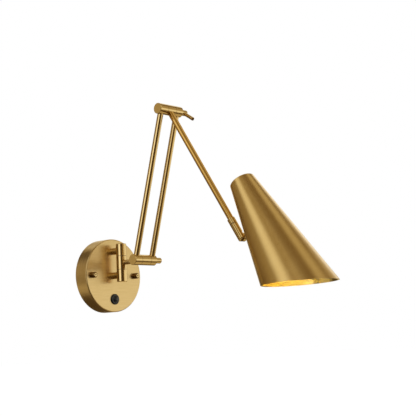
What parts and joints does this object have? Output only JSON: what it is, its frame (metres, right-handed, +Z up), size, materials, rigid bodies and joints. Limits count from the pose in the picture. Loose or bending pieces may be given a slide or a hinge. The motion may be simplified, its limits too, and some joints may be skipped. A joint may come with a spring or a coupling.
{
  "type": "swing arm wall lamp",
  "caption": "Brass wall lamp: round canopy with push switch, swing hinge, two-rod lower arm, folding upper arm, and a slim cone shade with a level-cut mouth.",
  "frame": {"origin": "middle of the wall bracket's back face, on the wall", "axes": "+Z up, +Y into the wall, so the lamp stands out along -Y; +X to the right as you face the wall"},
  "size_m": [0.12, 0.4647, 0.3201],
  "materials": {
    "satin_brass": "satin, brushed",
    "zinc_steel": "zinc plated",
    "friction_washer": "matt fibre",
    "earth_brass": "green-marked screw",
    "black_plastic": "satin",
    "black_gloss": "gloss",
    "white_plastic": "matt",
    "holder_plastic": "matt",
    "bulb_shell": "rolled",
    "warm_glass": "frosted, lit"
  },
  "bodies": {
    "wall_base": {"wall_bracket": "zinc_steel", "canopy_studs": "zinc_steel", "stud_lock_nuts": "zinc_steel", "canopy": "satin_brass", "cap_nuts": "satin_brass", "upper_post": "satin_brass", "lower_post": "satin_brass", "post_washers": "zinc_steel", "post_nuts": "zinc_steel", "upper_hinge_barrel": "satin_brass", "lower_hinge_barrel": "satin_brass", "hinge_caps": "satin_brass", "swing_pin": "zinc_steel", "swing_washers": "friction_washer", "switch_housing": "black_plastic", "switch_ring_nut": "black_plastic", "terminal_block": "white_plastic", "terminal_screws": "zinc_steel", "earth_screw": "earth_brass"},
    "push_button": {"switch_button": "black_gloss"},
    "swing_arm": {"swing_barrel": "satin_brass", "arm_stub": "satin_brass", "knuckle_middle_barrel": "satin_brass"},
    "lower_arm": {"knuckle_left_barrel": "satin_brass", "knuckle_right_barrel": "satin_brass", "knuckle_bolt": "zinc_steel", "knuckle_washers": "friction_washer", "knuckle_clamp_nut": "satin_brass", "left_rod": "satin_brass", "right_rod": "satin_brass", "elbow_left_barrel": "satin_brass", "elbow_right_barrel": "satin_brass", "elbow_bolt": "zinc_steel", "elbow_washers": "friction_washer"},
    "clamp_lever": {"lever_nut": "satin_brass", "elbow_lever": "satin_brass"},
    "upper_arm": {"elbow_middle_barrel": "satin_brass", "upper_rod": "satin_brass", "rod_collar": "satin_brass", "swivel_pin": "zinc_steel", "swivel_washer": "friction_washer"},
    "swivel": {"swivel_sleeve": "satin_brass", "tilt_washer": "friction_washer", "tilt_screw": "satin_brass"},
    "shade_head": {"shade_knuckle": "satin_brass", "shade": "satin_brass", "socket_bracket": "zinc_steel", "stem_nut": "zinc_steel", "holder_nipple": "zinc_steel", "nipple_nut": "zinc_steel", "lampholder": "holder_plastic", "bulb_cap": "bulb_shell", "bulb_glass": "warm_glass"}
  },
  "joints": [
    {"name": "arm_swing", "type": "hinge", "parent": "wall_base", "child": "swing_arm", "pos_m": [0, -0.0453, 0.0195], "axis": [0, 0, 1], "range_deg": [-70, 70]},
    {"name": "lower_arm_tilt", "type": "hinge", "parent": "swing_arm", "child": "lower_arm", "pos_m": [0, -0.0975, 0.0195], "axis": [1, 0, 0], "range_deg": [-30, 80]},
    {"name": "elbow", "type": "hinge", "parent": "lower_arm", "child": "upper_arm", "pos_m": [0, -0.16759, 0.25165], "axis": [1, 0, 0], "range_deg": [-130, 25]},
    {"name": "lever_turn", "type": "hinge", "parent": "lower_arm", "child": "clamp_lever", "pos_m": [0, -0.16759, 0.25165], "axis": [1, 0, 0], "range_deg": [-90, 0]},
    {"name": "shade_swivel", "type": "hinge", "parent": "upper_arm", "child": "swivel", "pos_m": [0, -0.29268, 0.05567], "axis": [0, -0.538, -0.8429], "range_deg": [-170, 170]},
    {"name": "shade_tilt", "type": "hinge", "parent": "swivel", "child": "shade_head", "pos_m": [0, -0.30533, 0.03586], "axis": [1, 0, 0], "range_deg": [-16, 80]},
    {"name": "switch_press", "type": "slide", "parent": "wall_base", "child": "push_button", "axis": [0, 1, 0], "range_m": [0, 0.0025], "stiffness_N_per_m": 400}
  ]
}
